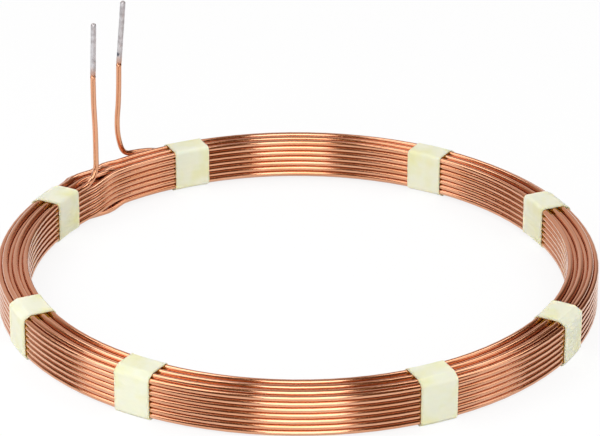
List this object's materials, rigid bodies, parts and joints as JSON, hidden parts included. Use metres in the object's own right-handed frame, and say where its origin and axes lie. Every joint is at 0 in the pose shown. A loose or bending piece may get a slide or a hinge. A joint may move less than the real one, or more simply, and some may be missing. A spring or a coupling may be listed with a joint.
{
  "type": "air core inductor",
  "caption": "Flat ring coil of enamelled round copper wire with an open core, tied by paper tape bands, with two upright tinned wire leads.",
  "frame": {"origin": "centre of the ring, at the underside of the tape laps that the coil rests on", "axes": "+Z along the ring's axis and the leads, +X to the right and -Y to the front with the leads at the back left"},
  "size_m": [0.1, 0.1, 0.0369],
  "materials": {
    "enamelled_copper": "glossy enamelled copper",
    "tinned_copper": "dull solder",
    "paper_tape": "matte paper tape, slightly yellowed"
  },
  "bodies": {
    "root": {"copper_winding": "enamelled_copper", "start_lead_tin": "tinned_copper", "finish_lead_tin": "tinned_copper", "tape_band_1": "paper_tape", "tape_band_2": "paper_tape", "tape_band_3": "paper_tape", "tape_band_4": "paper_tape", "tape_band_5": "paper_tape", "tape_band_6": "paper_tape", "tape_band_7": "paper_tape", "tape_band_8": "paper_tape"}
  },
  "joints": []
}
